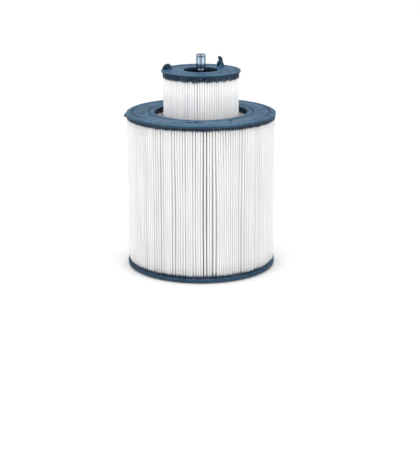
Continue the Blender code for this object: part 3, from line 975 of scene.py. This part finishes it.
large_lip_end = UNDER_LARGE_CAP - 7.4 * MM
toothed_ring(
    "large_top_resin", LARGE_HOLE + MM, LARGE_EDGE, UNDER_LARGE_CAP, large_lip_end, LARGE_FOLDS,
    1.0, "large_module", ["large_top_potting"],
)
toothed_ring(
    "large_bottom_resin_outer", LARGE_CORE_OUT + 0.4 * MM, LARGE_EDGE, FOOT_LOW, FOOT_END,
    LARGE_FOLDS, 2.0, "large_module", ["large_bottom_outer_potting"],
)
toothed_ring(
    "large_bottom_resin_inner", LARGE_HOLE + MM, LARGE_CORE_IN - 0.5 * MM, FOOT_LOW, FOOT_END,
    LARGE_INNER_FOLDS, 3.0, "large_module", ["large_bottom_inner_potting"],
)

# %% [markdown]
# ## The wide cartridge's cloth
#
# Dirty water reaches this cartridge from outside and from its hole. So the outer pack folds
# outwards and the inner pack folds towards the hole, and one recipe makes both: only the radii of
# the tips and the roots change places. The cloth's ends stand inside the resin's lip.

# %% Wide pleat packs
TIP_BACK = 1.0 * MM  # from the resin's edge in to the tips of the folds
SINK = 2.6 * MM  # how deep the cloth's ends stand inside the resin's lip

cloth_span = (FOOT_END - SINK, large_lip_end + SINK)
pleat_pack(
    "large_outer_cloth", LARGE_EDGE - TIP_BACK, LARGE_CORE_OUT + 0.9 * MM, *cloth_span,
    LARGE_FOLDS, 0.75, 11, FILTER_CLOTH, "large_module", ["large_outer_pleats"],
)
pleat_pack(
    "large_inner_cloth", LARGE_HOLE + MM + TIP_BACK, LARGE_CORE_IN - 1.0 * MM, *cloth_span,
    LARGE_INNER_FOLDS, 0.78, 12, PAINTED_LIGHT_CLOTH, "large_module", ["large_inner_pleats"],
)

# %% [markdown]
# ## The wide cartridge's bottom cap
#
# The bottom cap stands on a flat seat with a groove at each side of its outlet slots. The seat and
# the grooves are round, so they are part of the turned outline. The slots are not, so rounded boxes
# cut them out.

# %% Slotted base
SEAT_STEP = 3 * MM
SEAT_MARGIN = 3 * MM  # flat seat beyond each groove
GROOVE_DEPTH = 4.7 * MM
GROOVE_HALF = 3 * MM


def slotted_base(inner, outer, top, seals, channel, slots, slot_length, steps):
    """A bottom cap as a bmesh: a plate with a seat, two ring grooves and rounded outlet slots."""
    near = seals[0] - GROOVE_HALF - SEAT_MARGIN
    far = seals[1] + GROOVE_HALF + SEAT_MARGIN
    corners = [
        (inner, top),
        (outer, top, 1.2 * MM),
        (outer, SEAT_STEP, 1.8 * MM),
        (far, SEAT_STEP, 0.3 * MM),
        (far, 0, 0.8 * MM),
    ]
    for radius in reversed(seals):
        corners += [
            (radius + GROOVE_HALF, 0, 0.5 * MM),
            (radius + GROOVE_HALF, GROOVE_DEPTH, 0.8 * MM),
            (radius - GROOVE_HALF, GROOVE_DEPTH, 0.8 * MM),
            (radius - GROOVE_HALF, 0, 0.5 * MM),
        ]
    corners += [(near, 0, 0.8 * MM), (near, SEAT_STEP, 0.3 * MM), (inner, SEAT_STEP)]
    base = turn_outline(softened(corners, steps=2), steps)
    width = channel[1] - channel[0]
    cutters = []
    for i in range(slots):
        turn = (i + 0.5) * math.tau / slots
        place = polar(sum(channel) / 2, turn, top / 2)
        cutters.append(solid_box((width, slot_length, 3 * top), place, turn, 0.42 * width))
    return carve(base, cutters, "DIFFERENCE")


large_base = slotted_base(
    LARGE_HOLE, LARGE_RIM, levels("large_bottom_cap")[1], (146 * MM, 174 * MM),
    (156.8 * MM, 163.4 * MM), 12, 40 * MM, 240,
)
piece(
    "large_bottom_cap_cast", large_base, CAST_CAP, "large_module",
    ["large_bottom_cap"],
)

# %% [markdown]
# ## Sealing rings
#
# A rubber ring lies in each groove of the seat, so only clean water from the channel between the
# cores can leave. A torus would be the quick way, but a moulded ring has a thin flash line where
# the two halves of its mould met, and an outline can carry that.


# %% Wide sealing rings
def sealing_ring(name, node_name, body):
    """A round rubber ring, with the thin flash line that its mould leaves."""
    low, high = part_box(node_name)
    half = 2 * MM
    radius = high.x - half
    middle = (low.z + high.z) / 2
    outline = []
    for i in range(20):
        turn = i * math.tau / 20
        flash = 0.12 * MM if i in (5, 15) else 0.0
        across, up = (half + flash) * math.cos(turn), (half - 0.1 * MM) * math.sin(turn)
        outline.append(Vector((radius + across, middle + up)))
    return piece(name, turn_outline(outline, 144), SEAL_RUBBER, body, [node_name])


sealing_ring("large_inner_ring", "large_inner_seal", "large_module")
sealing_ring("large_outer_ring", "large_outer_seal", "large_module")

# %% [markdown]
# ## Lever pivots
#
# Two lift levers fold about pins on the narrow cap. Their parts could be placed by eye, but each is
# simpler to draw flat, in the pivot's own frame: X towards the axis, Y up and Z along the pin. One
# matrix then puts ears, levers and pins in place, and they always agree.

# %% Sizes of the narrow cartridge and its pivots
SMALL_HOLE = 46 * MM
SMALL_RIM = outer_radius("small_top_cap")
SMALL_TOP = levels("small_top_potting")[1] + 6.3 * MM
LAND = SMALL_TOP - 1.5 * MM
LEVER_RADIUS = 97 * MM
LEVER_LIFT = 6.5 * MM
LEVER_WIDTH = 9 * MM
EAR_WIDTH = 3 * MM
PIN_RADIUS = 2 * MM
PIN_PLAY = 0.15 * MM
GAP = 0.3 * MM
LEFT_ANGLE = math.radians(166)
RIGHT_ANGLE = math.radians(57.5)


def pivot_place(angle, raised_by=0.0):
    """The pivot's own frame: X towards the axis, Y up and Z along the pin."""
    out = polar(1, angle)
    up = Vector((0, 0, 1))
    along = Vector((-out.y, out.x, 0))
    turn = Matrix((-out, up, along)).transposed().to_4x4()
    at = out * LEVER_RADIUS + up * (LAND + LEVER_LIFT)
    return Matrix.Translation(at) @ turn @ Matrix.Rotation(raised_by, 4, "Z")


print("narrow cap in mm:", round(2 * SMALL_RIM / MM, 1), "across, land at", round(LAND / MM, 1))

# %% [markdown]
# ## Pivot ears
#
# Two pairs of ears hold the levers' pins. Each ear has a round head, a foot, and a short web that
# runs towards the cap's hole, where the pull of lifting goes. The outline is drawn flat and pulled
# to its width, because a plate with softened edges is what the mould makes.


# %% Ear
def slab(outline, width, bevel):
    """A flat outline as a solid of that width, centred on its plane, with softened edges."""
    bm = raised(outline, -width / 2, width)
    bevelled(bm, level_edges(bm), bevel, 2)
    return bm


def placed(bm, place):
    """The bmesh after it is moved to a place."""
    bmesh.ops.transform(bm, matrix=place, verts=bm.verts)
    return bm


def pin_hole(radius, length):
    """A cutter for a pin's hole, along Z."""
    bm = bmesh.new()
    bmesh.ops.create_cone(
        bm, cap_ends=True, segments=32, radius1=radius, radius2=radius, depth=length
    )
    return bm


def ear(angle, shift):
    """One pivot ear with its foot and its web, bored for the pin."""
    foot = -(LEVER_LIFT + 1 * MM)
    outline = [*arc(4.6 * MM, -8, 178, 22), (-6.4 * MM, -3.4 * MM), (-7.8 * MM, foot + 1.6 * MM)]
    outline += [(-8.2 * MM, foot), (15 * MM, foot)]
    outline += [(9.4 * MM, foot + 2.4 * MM), (6.8 * MM, -3.0 * MM)]
    blank = slab(outline, EAR_WIDTH, 0.35 * MM)
    bored = carve(blank, [pin_hole(PIN_RADIUS + PIN_PLAY, 3 * EAR_WIDTH)], "DIFFERENCE")
    return placed(bored, pivot_place(angle) @ Matrix.Translation((0, 0, shift)))


print("ears are", round(EAR_WIDTH / MM, 1), "mm wide")

# %% [markdown]
# ## The narrow cartridge's top cap
#
# The narrow cap has a raised bead round its hole and another at its rim, with a sunk land and a
# fine groove between. Beads, land and groove are turned in one outline, and the ears are joined to
# the land afterwards, so that the cap and its ears are one casting.


# %% Narrow top cap
def make_small_top_cap():
    """The beaded ring with two pairs of ears."""
    under = SMALL_TOP - 6 * MM
    corners = [
        (SMALL_HOLE, SMALL_TOP, 1.6 * MM),
        (SMALL_HOLE + 3.6 * MM, SMALL_TOP, 1.2 * MM),
        (SMALL_HOLE + 4.6 * MM, LAND, 0.6 * MM),
        *grooved(SMALL_RIM - 8 * MM, LAND, 1.3 * MM, 1.8 * MM),
        (SMALL_RIM - 5 * MM, LAND, 0.6 * MM),
        (SMALL_RIM - 4 * MM, SMALL_TOP, 1.0 * MM),
        (SMALL_RIM, SMALL_TOP, 2.0 * MM),
        (SMALL_RIM, under, 2.2 * MM),
        (SMALL_HOLE, under, 0.8 * MM),
    ]
    cap = turn_outline(softened(corners, steps=4), 180)
    swell(cap, 0.14 * MM, 30)
    offset = LEVER_WIDTH / 2 + GAP + EAR_WIDTH / 2
    ears = [ear(angle, shift) for angle in (LEFT_ANGLE, RIGHT_ANGLE) for shift in (offset, -offset)]
    cap = carve(cap, ears, "UNION")
    return piece(
        "small_top_cap_cast", cap, CAST_CAP, "small_module", ["small_top_cap"]
    )


make_small_top_cap()

# %% [markdown]
# ## Lift levers
#
# Each lever is a hooked fin with a round heel on its pin. One lies folded on the cap, and the other
# stands. A shallow pocket in each side leaves a rim and a rib, which is how such a part is moulded
# to keep its walls even; a plain plate would look stamped. Each fin rides on its own body, so it
# turns about its pin.


# %% Levers
def lever_outline():
    """A hooked fin with a round heel, a domed back and a tip that curls down."""
    heel = arc(5 * MM, 250, 96, 14)
    back = arc(12.4 * MM, 100, 32, 12, (5.6 * MM, -5.2 * MM))
    tip = arc(1.9 * MM, 30, -130, 8, (17.1 * MM, -3.3 * MM))
    under = arc(10 * MM, 65, 115, 8, (9.2 * MM, -12.2 * MM))
    return [*heel, *back, *tip, *under]


def lever_pocket(side):
    """The shallow pocket that is pressed into one side of a lever."""
    outline = arc(7.5 * MM, 100, 50, 8, (5.9 * MM, -4.4 * MM))
    outline += [(12.4 * MM, -0.9 * MM), (6.2 * MM, -1.2 * MM)]
    pocket = slab(outline, 2.4 * MM, 0.3 * MM)
    return placed(pocket, Matrix.Translation((0, 0, side * LEVER_WIDTH / 2)))


def make_lever(side, angle, raised_by):
    """One lever, turned about its pin by raised_by from lying folded."""
    blank = slab(lever_outline(), LEVER_WIDTH, 0.7 * MM)
    hole = pin_hole(PIN_RADIUS + PIN_PLAY, 3 * LEVER_WIDTH)
    cutters = [hole, lever_pocket(1), lever_pocket(-1)]
    shape = placed(carve(blank, cutters, "DIFFERENCE"), pivot_place(angle, raised_by))
    return piece(
        f"{side}_lever_moulded", shape, LEVER_PLASTIC, f"{side}_lever",
        [f"{side}_lift_lever"],
    )


print("points round a lever:", len(lever_outline()))

# %% [markdown]
# ## Pins
#
# A headed steel pin runs through each pair of ears. A cylinder with two discs would do, but a real
# pin's heads are slightly domed, and half an outline, mirrored and then turned, gives both at once.
# Each lever is made together with its pin, so the two share one angle.


# %% Pins, and both levers with theirs
def make_pin(side, angle):
    """A pin with two domed heads."""
    grip = LEVER_WIDTH / 2 + GAP + EAR_WIDTH + GAP / 2
    end = grip + 1.4 * MM
    half = [(0, end), (1.6 * MM, end - 0.1 * MM), (2.8 * MM, end - 0.6 * MM)]
    half += [(3.4 * MM, grip + 0.2 * MM), (3.3 * MM, grip), (PIN_RADIUS, grip)]
    outline = [Vector(p) for p in half] + [Vector((r, -z)) for r, z in reversed(half)]
    shape = placed(turn_outline(outline, 32, closed=False), pivot_place(angle))
    return piece(
        f"{side}_pin_turned", shape, DULL_STEEL, "small_module", [f"{side}_lever_pin"]
    )


LEVERS = (("left", LEFT_ANGLE, 0.0), ("right", RIGHT_ANGLE, math.pi / 2))
for lever_side, lever_angle, lever_raised in LEVERS:
    make_lever(lever_side, lever_angle, lever_raised)
    make_pin(lever_side, lever_angle)

# %% [markdown]
# ## The narrow cartridge's resin and cloth
#
# The narrow cartridge is made in the same way, with fewer folds and a longer lip under its cap. It
# reuses the helpers with its own radii and seeds, so the two look like one family and yet differ.

# %% Narrow resin rings
SMALL_EDGE = outer_radius("small_top_potting")
SMALL_FOLDS = 98
SMALL_INNER_FOLDS = 46
UNDER_SMALL_CAP = levels("small_top_potting")[1]
SMALL_CORE_OUT = outer_radius("small_outer_core")
SMALL_CORE_IN = 63.8 * MM

small_lip_end = UNDER_SMALL_CAP - 12.4 * MM
toothed_ring(
    "small_top_resin", SMALL_HOLE + MM, SMALL_EDGE, UNDER_SMALL_CAP, small_lip_end, SMALL_FOLDS,
    4.0, "small_module", ["small_top_potting"],
)
toothed_ring(
    "small_bottom_resin_outer", SMALL_CORE_OUT + 0.4 * MM, SMALL_EDGE, FOOT_LOW, FOOT_END,
    SMALL_FOLDS, 5.0, "small_module", ["small_bottom_outer_potting"],
)
toothed_ring(
    "small_bottom_resin_inner", SMALL_HOLE + MM, SMALL_CORE_IN - 0.4 * MM, FOOT_LOW, FOOT_END,
    SMALL_INNER_FOLDS, 6.0, "small_module", ["small_bottom_inner_potting"],
)

# %% Narrow pleat packs
cloth_span = (FOOT_END - SINK, small_lip_end + SINK)
pleat_pack(
    "small_outer_cloth", SMALL_EDGE - TIP_BACK, SMALL_CORE_OUT + 0.9 * MM, *cloth_span,
    SMALL_FOLDS, 0.84, 13, PAINTED_LIGHT_CLOTH, "small_module", ["small_outer_pleats"],
)
pleat_pack(
    "small_inner_cloth", SMALL_HOLE + MM + TIP_BACK, SMALL_CORE_IN - 1.0 * MM, *cloth_span,
    SMALL_INNER_FOLDS, 0.76, 14, PAINTED_LIGHT_CLOTH, "small_module", ["small_inner_pleats"],
)

# %% [markdown]
# ## The narrow cartridge's base
#
# This base has its own slots and seat, and also carries a hub on four spokes that guides the rod.
# The hub is turned, and the spokes are softened boxes. Joining them to the base with one Boolean
# makes a single casting, where loose spokes would show seams.

# %% Narrow base with hub and spokes
HUB_RADIUS = 17 * MM
HUB_BORE = 11.2 * MM
HUB_TOP = levels("small_bottom_cap")[1]
SPOKES = 4
SPOKE_WIDTH, SPOKE_HEIGHT, SPOKE_MIDDLE = 6 * MM, 7 * MM, 7.5 * MM


def make_small_base():
    """The slotted base with its hub and spokes joined on."""
    base = slotted_base(
        SMALL_HOLE, outer_radius("small_bottom_cap"), 12 * MM, (55 * MM, 83 * MM),
        (66.8 * MM, 72.2 * MM), 8, 26 * MM, 160,
    )
    corners = [
        (HUB_BORE, HUB_TOP),
        (HUB_RADIUS, HUB_TOP, 1.2 * MM),
        (HUB_RADIUS, SEAT_STEP, 0.8 * MM),
        (HUB_BORE, SEAT_STEP),
    ]
    hub = turn_outline(softened(corners), 64)
    start = HUB_RADIUS - 1.5 * MM
    reach = SMALL_HOLE + 2 * MM - start
    spokes = []
    for i in range(SPOKES):
        turn = (i + 0.5) * math.tau / SPOKES
        place = polar(start + reach / 2, turn, SPOKE_MIDDLE)
        spoke = solid_box((reach, SPOKE_WIDTH, SPOKE_HEIGHT), place, turn)
        bevelled(spoke, spoke.edges[:], 0.8 * MM, 2)
        spokes.append(spoke)
    whole = carve(base, [hub, *spokes], "UNION")
    return piece(
        "small_bottom_cap_cast", whole, CAST_CAP, "small_module",
        ["small_bottom_cap"],
    )


make_small_base()
sealing_ring("small_inner_ring", "small_inner_seal", "small_module")
sealing_ring("small_outer_ring", "small_outer_seal", "small_module")

# %% [markdown]
# ## Hub bush
#
# A flanged plastic bush is pressed into the hub and keeps the rod from wearing it. Two tubes could
# stand for it, but one outline with a flange and small leads at both ends shows how it was pressed
# in from above.

# %% Hub bush
bush_low, bush_high = levels("hub_bush")
bush_inner, bush_outer = 9.3 * MM, outer_radius("hub_bush")
bush_corners = [
    (bush_inner, bush_high, 0.8 * MM),
    (bush_outer, bush_high, 0.7 * MM),
    (bush_outer, HUB_TOP + GAP, 0.4 * MM),
    (HUB_BORE - GAP, HUB_TOP + GAP, 0.2 * MM),
    (HUB_BORE - GAP, bush_low, 0.6 * MM),
    (bush_inner, bush_low, 0.6 * MM),
]
bush = turn_outline(softened(bush_corners), 64)
piece("hub_bush_moulded", bush, MOULDED_CORE, "small_module", ["hub_bush"])

# %% [markdown]
# ## Cores
#
# Four perforated tubes hold the packs apart. They are almost hidden, so a finer copy would cost
# much and show little. The frame's own solids stay and only get their moulded finish.

# %% Core finish on the frame's solids
CORES = ("large_outer_core", "large_inner_core", "small_outer_core", "small_inner_core")
for core_name in CORES:
    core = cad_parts[core_name]
    core.data.materials.clear()
    core.data.materials.append(MOULDED_CORE)
print("cores finished:", len(CORES))

# %% [markdown]
# ## Rod
#
# The rod is a plain turned bar with a thinner foot and a six-sided socket in its top, so half an
# outline makes the bar, and a six-sided cone with equal ends cuts the socket.

# %% Rod
ROD_RADIUS = outer_radius("centre_rod")
ROD_LOW, ROD_HIGH = levels("centre_rod")
COLLAR_LOW, COLLAR_HIGH = levels("rod_collar")
FOOT_RADIUS = 9 * MM
SOCKET_RADIUS = 5.6 * MM
SOCKET_DEPTH = 18 * MM


def make_rod():
    """The bar with its foot and its six-sided socket."""
    corners = [
        (0, ROD_HIGH, 0),
        (ROD_RADIUS, ROD_HIGH, 1.4 * MM),
        (ROD_RADIUS, COLLAR_LOW, 0.5 * MM),
        (FOOT_RADIUS, COLLAR_LOW, 0),
        (FOOT_RADIUS, ROD_LOW, 1.6 * MM),
        (0, ROD_LOW, 0),
    ]
    rod = turn_outline(softened(corners), 96, closed=False)
    socket = bmesh.new()
    place = Matrix.Translation((0, 0, ROD_HIGH + 0.1 * MM))
    bmesh.ops.create_cone(
        socket, cap_ends=True, segments=6, radius1=SOCKET_RADIUS, radius2=SOCKET_RADIUS,
        depth=2 * SOCKET_DEPTH, matrix=place,
    )
    bored = carve(rod, [socket], "DIFFERENCE")
    return piece(
        "centre_rod_turned", bored, TURNED_STEEL, "centre_rod_body", ["centre_rod"]
    )


make_rod()

# %% [markdown]
# ## Collar and rubber ring
#
# A collar low on the rod stops it, and a thin rubber ring seals it under the nut. Both are closed
# outlines turned round the rod, a hair's breadth clear of it, because pieces that share a surface
# flicker where they touch.

# %% Collar and ring
collar_outer = outer_radius("rod_collar")
collar_corners = [
    (ROD_RADIUS + GAP, COLLAR_HIGH, 0.5 * MM),
    (collar_outer, COLLAR_HIGH, 1.0 * MM),
    (collar_outer, COLLAR_LOW, 1.0 * MM),
    (ROD_RADIUS + GAP, COLLAR_LOW, 0.5 * MM),
]
collar = turn_outline(softened(collar_corners), 96)
piece("rod_collar_turned", collar, TURNED_STEEL, "centre_rod_body", ["rod_collar"])

seal_low, seal_high = levels("rod_seal")
seal_centre = (outer_radius("rod_seal") - 1.1 * MM, (seal_low + seal_high) / 2)
seal_half = (seal_high - seal_low) / 2
seal_outline = []
for i in range(16):
    t = i * math.tau / 16
    across, up = 1.05 * MM * math.cos(t), seal_half * math.sin(t)
    seal_outline.append(Vector((seal_centre[0] + across, seal_centre[1] + up)))
seal = turn_outline(seal_outline, 64)
piece("rod_seal_ring", seal, SEAL_RUBBER, "centre_rod_body", ["rod_seal"])

# %% [markdown]
# ## Nut
#
# The nut is a long round sleeve over the rod's top end: a bead round its mouth, a fine groove under
# it, and a chamfered skirt that presses on the rubber ring. A cut could add the groove later,
# but an outline keeps the sleeve's polish unbroken from mouth to skirt.


# %% Nut
def make_nut():
    """The long round nut, from its beaded mouth down to its skirt."""
    low, top = levels("rod_nut")
    radius = outer_radius("rod_nut")
    bore = ROD_RADIUS + GAP
    mouth = 8 * MM
    bead = radius - 0.4 * MM
    corners = [
        (mouth, top, 0.8 * MM),
        (bead, top, 1.3 * MM),
        (bead, top - 4.6 * MM, 0.9 * MM),
        (bead - 1.0 * MM, top - 5.3 * MM, 0.4 * MM),
        (bead - 1.0 * MM, top - 6.0 * MM, 0.4 * MM),
        (radius, top - 6.8 * MM, 0.9 * MM),
        (radius, low + 1.6 * MM, 0.8 * MM),
        (radius - 1.3 * MM, low, 0.4 * MM),
        (bore, low, 0.3 * MM),
        (bore, ROD_HIGH + GAP, 0.3 * MM),
        (mouth, ROD_HIGH + GAP, 0.3 * MM),
    ]
    nut = turn_outline(softened(corners), 96)
    return piece("rod_nut_turned", nut, TURNED_STEEL, "rod_nut_body", ["rod_nut"])


make_nut()

# %% [markdown]
# ## Floor
#
# The floor is a wide flat sheet with a pale, almost even tone. A curved backdrop would need to
# match from every side, while a flat sheet looks the same all round. It reaches far enough for the
# camera to see nothing else behind the cartridges.

# %% Floor
FLOOR_SIZE = 80.0


def make_floor():
    """The floor, just under the feet of the set."""
    bm = bmesh.new()
    place = Matrix.Translation((0, 0, -0.0005))
    bmesh.ops.create_grid(bm, x_segments=8, y_segments=8, size=FLOOR_SIZE / 2, matrix=place)
    mesh = bpy.data.meshes.new("floor")
    bm.to_mesh(mesh)
    bm.free()
    made = bpy.data.objects.new("floor", mesh)
    look, tree, shader = fresh_finish("pale_floor", 0.9)
    tone = ramp(tree, cloud(tree, 3, 2), (0.3, 0.985), (0.7, 0.995))
    joined(tree, tone, shader, "Base Color")
    shader.inputs["Specular IOR Level"].default_value = 0.1
    mesh.materials.append(look)
    bpy.context.collection.objects.link(made)


make_floor()
print("floor in m:", FLOOR_SIZE)
